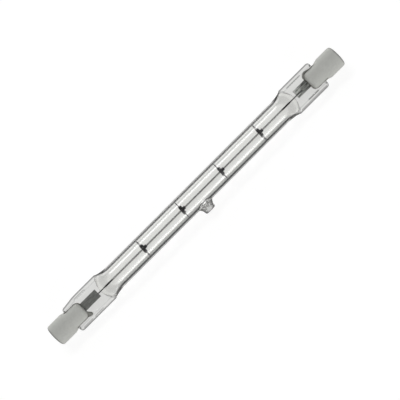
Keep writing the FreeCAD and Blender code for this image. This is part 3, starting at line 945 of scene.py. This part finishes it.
# %% Caps
CAP_R, CAP_NECK_R, CAP_LENGTH, CAP_HEAD = 3.575, 3.1, 11.8, 5.3
CAP_EDGE_R, NECK_END_R, SLOT_Z = 0.7, 1.4, SEAL_WEB_Z + 0.12
RECESS_R, RECESS_LIP_R, RECESS_DEPTH, SEAT_R, SEAT_DEPTH = 1.75, 0.2, 1.7, 1.47, 2.3
TAPER_BEFORE, TAPER, SLOT_FLOOR, PRONG_LENGTH = 1.9, 2.1, 6.55, 5.8


def cap_radius(x):
    """The cap's radius at a distance x from the lamp's middle: the neck's, easing out to the head's."""
    return CAP_NECK_R + (CAP_R - CAP_NECK_R) * ease((x - CAP_FACE + CAP_HEAD + TAPER_BEFORE) / TAPER)


def neck_radius(full, inset):
    """A radius drawn in by a quarter circle over the neck's rounded end, at an inset from that end."""
    bow = np.clip(NECK_END_R - inset, 0, NECK_END_R)
    return full - NECK_END_R + np.sqrt(np.maximum(NECK_END_R ** 2 - bow ** 2, 0))


def cap_head(side):
    """The turned head: slot floor, taper, side, rounded edge, end face, then into the recess and seat."""
    taper = np.linspace(CAP_FACE - SLOT_FLOOR, CAP_FACE - CAP_HEAD + 0.4, 14)
    edge, lip = np.linspace(0, QUARTER, 12), np.linspace(0, QUARTER, 6)
    x = np.concatenate([
        taper[:1], taper, CAP_FACE - CAP_EDGE_R * (1 - np.sin(edge)),
        CAP_FACE - RECESS_LIP_R * (1 - np.cos(lip)),
        np.full(3, CAP_FACE - RECESS_DEPTH), np.full(2, CAP_FACE - SEAT_DEPTH),
    ])
    r = np.concatenate([
        [0.001], cap_radius(taper), CAP_R - CAP_EDGE_R * (1 - np.cos(edge)),
        RECESS_R + RECESS_LIP_R * (1 - np.sin(lip)), [RECESS_R, RECESS_R - 0.03, SEAT_R, SEAT_R, 0.001],
    ])
    return revolve(x * side, r, 96)


def cap_prong(side, up):
    """Half of the slotted neck: a D of an arc and a chord, blurred at its corners, with a rounded inner end.

    The loop starts at the top of the arc, so that the fans of its lids spread down to the chord.
    """
    share = np.linspace(0, 1, 120, endpoint=False)
    rounded = NECK_END_R * (1 - np.cos(np.linspace(0, QUARTER, 14)))
    inset = np.concatenate([rounded, np.linspace(NECK_END_R, PRONG_LENGTH, 12)[1:]])
    x = CAP_FACE - CAP_LENGTH + inset
    radius = neck_radius(cap_radius(x), inset)[:, None]
    reach = np.arccos(SLOT_Z / radius)
    lean = reach * np.interp(share, (0, 0.3, 0.7, 1), (0, 1, -1, 0))
    chord = (share > 0.3) & (share < 0.7)
    y = np.where(chord, radius * np.sin(reach) * (0.5 - share) / 0.2, radius * np.sin(lean))
    z = np.where(chord, SLOT_Z, radius * np.cos(lean))
    shift = np.arange(-4, 5)
    blur = np.exp(-0.5 * (shift / 1.4) ** 2)
    y, z = (sum(b * np.roll(a, n, axis=1) for n, b in zip(shift, blur / blur.sum())) for a in (y, z))
    return closed_sweep(points_of(x[:, None] * side, y, z * up), fan_lid)


for name, end in END.items():
    cap = join(cap_head(end["side"]), cap_prong(end["side"], 1), cap_prong(end["side"], -1))
    cap_nodes = ["ceramic_cap_" + name]
    add_piece(f"ceramic_cap_{name}_fine", cap, cap_nodes, (steatite,), smooth_angle=50)

# %% [markdown]
# ## Contacts
#
# At the bottom of each cap's recess lies a nickel button, on which the holder's plunger presses. A cylinder
# with a Bevel modifier would come close, but its face would be flat. A turned profile also gives the dome.


# %% Contacts
BUTTON_R, BUTTON_EDGE_R, BUTTON_DOME, BUTTON_THICK = 1.45, 0.12, 0.02, 0.6
STEM_R, STEM_END = 0.75, 3.2


def contact_button(side):
    """The turned contact: a face that falls by its radius squared, a rounded edge, a side and a stem."""
    rise = np.linspace(0.001, 1, 8)
    bend = np.linspace(0, QUARTER, 6)[1:]
    below = np.concatenate([
        BUTTON_DOME * rise ** 2, BUTTON_DOME + BUTTON_EDGE_R * (1 - np.cos(bend)),
        [BUTTON_THICK, BUTTON_THICK, STEM_END, STEM_END],
    ])
    flat_r = BUTTON_R - BUTTON_EDGE_R
    r = np.concatenate([
        flat_r * rise, flat_r + BUTTON_EDGE_R * np.sin(bend), [BUTTON_R, STEM_R, STEM_R, 0.001],
    ])
    return revolve((CAP_FACE - RECESS_DEPTH - below) * side, r, 64)


for name, end in END.items():
    button, button_nodes = contact_button(end["side"]), ["contact_" + name]
    add_piece(f"contact_{name}_button", button, button_nodes, (nickel,), smooth_angle=50)

# %% [markdown]
# ## Cement squeezed from the slot
#
# When a cap is pushed on, a little cement comes out of the slot and sets as a grey bead along the neck, on
# both faces of the seal. Its dark grey is painted shade, for the shade in the gap along the neck. Sculpting
# would give a bead too, but not one that follows the cap if its size changes. So an oval with a flat bottom
# is swept along the neck's outline on the seal's face, thicker at one corner.


# %% Cement beads
BEAD_HEIGHT, BEAD_WIDTH, BEAD_LENGTH, FRONT_POINTS = 0.2, 0.06, 5.1, 12


def cement_bead(side, up, corner, swell, spread):
    """An oval swept along the neck's outline on the seal's face.

    Its width wanders by two sines and swells, by a bell curve, at one share along the outline.
    """
    rounded = NECK_END_R * (1 - np.cos(np.linspace(0, QUARTER, 30)[1:]))
    inset = np.concatenate([np.zeros(FRONT_POINTS), rounded, np.linspace(NECK_END_R, BEAD_LENGTH, 30)[1:]])
    half_y = np.sqrt(neck_radius(CAP_NECK_R, inset) ** 2 - SLOT_Z ** 2)
    half_y[:FRONT_POINTS] *= np.linspace(0.04, 1, FRONT_POINTS)
    x = np.concatenate([inset[::-1], inset]) + CAP_FACE - CAP_LENGTH
    y = np.concatenate([half_y[::-1], -half_y])
    ahead_x, ahead_y = np.gradient(x), np.gradient(y)
    length = np.hypot(ahead_x, ahead_y)
    share = np.linspace(0, 1, len(x))
    wide = BEAD_WIDTH + 0.02 * np.sin(40 * share) + 0.015 * np.sin(91 * share + 1)
    wide = wide + swell * np.exp(-0.5 * ((share - corner) / spread) ** 2)
    turn = full_turn(16)
    out = wide[:, None] * (0.6 + np.cos(turn))
    z = SEAL_WEB_Z + 0.01 + BEAD_HEIGHT * np.maximum(np.sin(turn), 0.0)
    x = x[:, None] + out * (ahead_y / length)[:, None]
    y = y[:, None] - out * (ahead_x / length)[:, None]
    return closed_sweep(points_of(x * side, y, z * up))


for name, corner, swell, spread in (("left", 0.67, 0.9, 0.03), ("right", 0.25, 0.4, 0.08)):
    bead = join(*(cement_bead(END[name]["side"], up, corner, swell, spread) for up in (1, -1)))
    add_piece(f"cement_bead_{name}", bead, [], (slot_shade_cement,))

# %% [markdown]
# ## CAD nodes that stay
#
# The lead wires and the cement in the slots are plain enough to stay as the CAD made them, so drawing them
# again would add nothing. They only get their materials.

# %% Materials of the CAD nodes
for node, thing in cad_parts.items():
    finish = molybdenum if "lead" in node else cap_cement if "cement" in node else None
    if finish is not None:
        thing.data.materials.clear()
        thing.data.materials.append(finish)
        print(node, "gets", finish.name)

# %% [markdown]
# ## Floor
#
# The photograph has a plain white ground. More light on a white floor would also bleach the caps, so the
# floor shines a little by itself instead, but only to the camera and through glass or in a gloss. The rest of
# it is plain white paper, which keeps the lamp's faint shadow.

# %% Floor
FLOOR_HALF = 2.0
GLOW_SHARE, GLOW_THROUGH, GLOW_MORE_DIRECT = 0.8, 0.8, 0.33

# white paper, matte: pure white to the camera, a little grey where it is seen through glass
paper_floor = bpy.data.materials.new("white_paper_floor")
add = empty_nodes(paper_floor)
paper = add("BsdfDiffuse", {"Color": linear("#f2f2f0")})
rays = add("LightPath")
direct, gloss, passed = (rays.outputs[f"Is {kind} Ray"] for kind in ("Camera", "Glossy", "Transmission"))
through = add("Math", {"operation": "MAXIMUM", 0: gloss, 1: passed})
seen = add("Math", {"operation": "MAXIMUM", 0: direct, 1: through})
share = add("Math", {"operation": "MULTIPLY", 0: seen, 1: GLOW_SHARE})
level = add("Math", {"operation": "MULTIPLY_ADD", 0: direct, 1: GLOW_MORE_DIRECT, 2: GLOW_THROUGH})
glow = add("Emission", {"Color": (1, 1, 1, 1), "Strength": level})
ground = add("MixShader", {0: share, 1: paper, 2: glow})
add("OutputMaterial", {"Surface": ground})

mesh = bpy.data.meshes.new("floor")
corners = [(x * FLOOR_HALF, y * FLOOR_HALF, cad_low[2]) for x, y in ((-1, -1), (1, -1), (1, 1), (-1, 1))]
mesh.from_pydata(corners, [], [(0, 1, 2, 3)])
mesh.materials.append(paper_floor)
floor = new_object("floor", mesh)
print("floor at", round(cad_low[2] / MM, 2), "mm")

# %% [markdown]
# ## Room
#
# A glass tube shows the room it lies in. Here the room is bright on both long sides of the lamp, dim above
# it and dark past its ends, which draws the lamp's edges. A picture of a studio would do the same, but a ramp
# from one long side to the other needs no file. To the camera the room is white, and through glass nearly so.

# %% Room
# places from one long side of the lamp to the other, and how bright the room is there
WALLS = ((0.0, 1.6), (0.08, 0.8), (0.2, 0.18), (0.5, 0.06), (0.8, 0.2), (0.92, 1.2), (1.0, 2.4))
WHITE_THROUGH = 0.8
world = bpy.data.worlds.new("studio")
bpy.context.scene.world = world
add = empty_nodes(world)
where = add("TexCoord").outputs["Generated"]
y = add("SeparateXYZ", {0: where}).outputs["Y"]
across = add("Math", {"operation": "MULTIPLY_ADD", 0: y, 1: 0.5, 2: 0.5})
walls = add("ValToRGB", {"stops": greys(WALLS), "Fac": across})
rays = add("LightPath")
direct, passed = rays.outputs["Is Camera Ray"], rays.outputs["Is Transmission Ray"]
through = add("Math", {"operation": "MULTIPLY", 0: passed, 1: WHITE_THROUGH})
seen = add("Math", {"operation": "MAXIMUM", 0: direct, 1: through})
tone = add("Mix", {"data_type": "RGBA", 0: seen, 6: walls, 7: (1.0, 1.0, 1.0, 1.0)})
room = add("Background", {"Color": tone, "Strength": 1.0})
add("OutputWorld", {"Surface": room})
print("room nodes:", len(world.node_tree.nodes))

# %% [markdown]
# ## Soft boxes
#
# Two long soft boxes, one over each long side, give the two highlights along the tube and leave the caps
# lighter at their edges. Area lamps do this with soft edges, where a spot or sun would give hard thin lines.
# The power follows from how bright each box looks, so that a box can change its size and keep its highlight.

# %% Soft boxes
BOX_FAR, BOX_LENGTH = 0.5, 0.25
# angle from straight above the seals, depth in metres, radiance
SOFT_BOXES = {"soft_box_far": (-55, 0.1, 10.5), "soft_box_near": (58, 0.12, 7.5)}
tilt = Matrix.Rotation(ROLL, 4, "X")
for name, (angle, deep, radiance) in SOFT_BOXES.items():
    lamp = bpy.data.lights.new(name, "AREA")
    lamp.shape = "RECTANGLE"
    lamp.size, lamp.size_y = BOX_LENGTH, deep
    lamp.energy = radiance * np.pi * BOX_LENGTH * deep
    soft_box = new_object(name, lamp)
    a = np.radians(angle)
    soft_box.location = tilt @ Vector((0, -BOX_FAR * np.sin(a), BOX_FAR * np.cos(a)))
    soft_box.rotation_euler = (-soft_box.location).to_track_quat("-Z", "Y").to_euler()
    print(name, "of", round(lamp.energy, 2), "W")

# %% [markdown]
# ## Camera
#
# The camera looks square at the seals, so it stands over the lamp along the lamp's own Z axis, which the roll
# has leant over. It is turned by 45 degrees, so that the lamp runs from the lower left to the upper right,
# and stands far enough off for the mild perspective of the photo. A longer lens would flatten the caps' ends.

# %% Camera
CAMERA_FAR, FRAME_WIDTH, FRAME_PIXELS, SENSOR = 0.36, 0.11824, 400, 36.0
# how far the frame's middle lies from the lamp's, in pixels to the right, upwards and along the lamp
OFF_RIGHT, OFF_UP, OFF_ALONG = 4.2, -3.8, -0.4
spin = float(np.radians(-44.95))
right, upward = np.array([np.cos(spin), np.sin(spin)]), np.array([-np.sin(spin), np.cos(spin)])
middle = (OFF_RIGHT * right + OFF_UP * upward + OFF_ALONG * np.array([1, 0])) * FRAME_WIDTH / FRAME_PIXELS
camera_data = bpy.data.cameras.new("camera")
camera_data.sensor_width = SENSOR
camera_data.lens = SENSOR * CAMERA_FAR / FRAME_WIDTH
camera_data.clip_start, camera_data.clip_end = 0.01, 10.0
camera = new_object("camera", camera_data)
camera.matrix_world = tilt @ Matrix.Translation((*middle, CAMERA_FAR)) @ Matrix.Rotation(spin, 4, "Z")
bpy.context.scene.camera = camera
bpy.context.scene.view_settings.view_transform = "Standard"
print("camera at", [round(c, 4) for c in camera.matrix_world.translation])

# %% [markdown]
# ## The CAD's box
#
# The CAD's box is printed, in millimetres.

# %% Sizes and finish
print("CAD box", [round(float(v) / MM, 2) for v in (*cad_low, *cad_high)])
